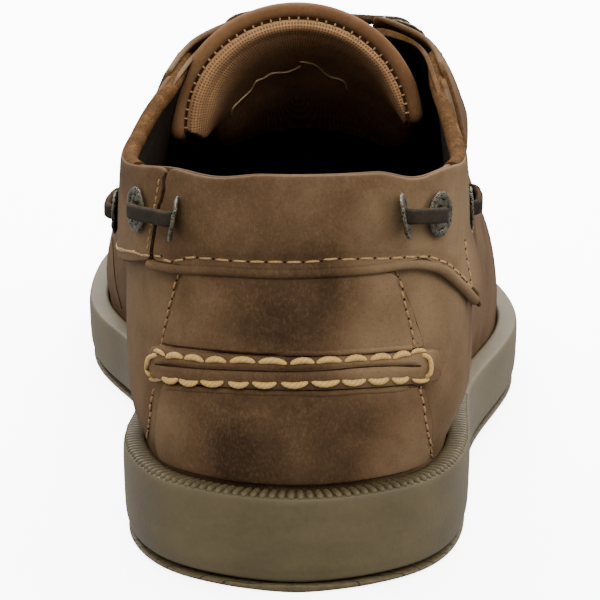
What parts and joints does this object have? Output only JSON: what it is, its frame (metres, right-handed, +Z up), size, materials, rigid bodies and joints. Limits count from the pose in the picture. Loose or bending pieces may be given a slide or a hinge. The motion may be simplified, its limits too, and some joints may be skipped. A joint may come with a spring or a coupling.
{
  "type": "boat shoe",
  "caption": "Low leather boat shoe for the right foot: hollow upper with raised apron seam, padded tongue, collar lacing through metal eyelets, hand-sewn heel pleat and ribbed rubber cup sole.",
  "frame": {"origin": "middle of the bounding box in plan, on the plane that the tread stands on", "axes": "+Y from the heel to the toe, +X towards the outer side of the foot, +Z up"},
  "size_m": [0.1092, 0.3, 0.1048],
  "materials": {
    "leather": "oiled, lightly scuffed",
    "lace": "waxed",
    "lining": "matte",
    "sole_rubber": "satin",
    "tread_rubber": "matte",
    "metal": "aged"
  },
  "bodies": {
    "root": {"collar_band": "leather", "collar_inner": "leather", "collar_outer": "leather", "eyelet_inner_low": "metal", "eyelet_inner_rear_a": "metal", "eyelet_inner_rear_b": "metal", "eyelet_inner_side_a": "metal", "eyelet_inner_side_b": "metal", "eyelet_inner_top": "metal", "eyelet_outer_low": "metal", "eyelet_outer_rear_a": "metal", "eyelet_outer_rear_b": "metal", "eyelet_outer_side_a": "metal", "eyelet_outer_side_b": "metal", "eyelet_outer_top": "metal", "eyestay_inner": "leather", "eyestay_outer": "leather", "heel_panel_low": "leather", "heel_panel_top": "leather", "heel_strip": "leather", "insole": "lining", "lace_crossing_low": "lace", "lace_crossing_top": "lace", "lace_inner_rear": "lace", "lace_inner_side": "lace", "lace_outer_rear": "lace", "lace_outer_side": "lace", "sole_unit": "sole_rubber", "tongue": "leather", "tread": "tread_rubber", "upper": "leather"}
  },
  "joints": []
}
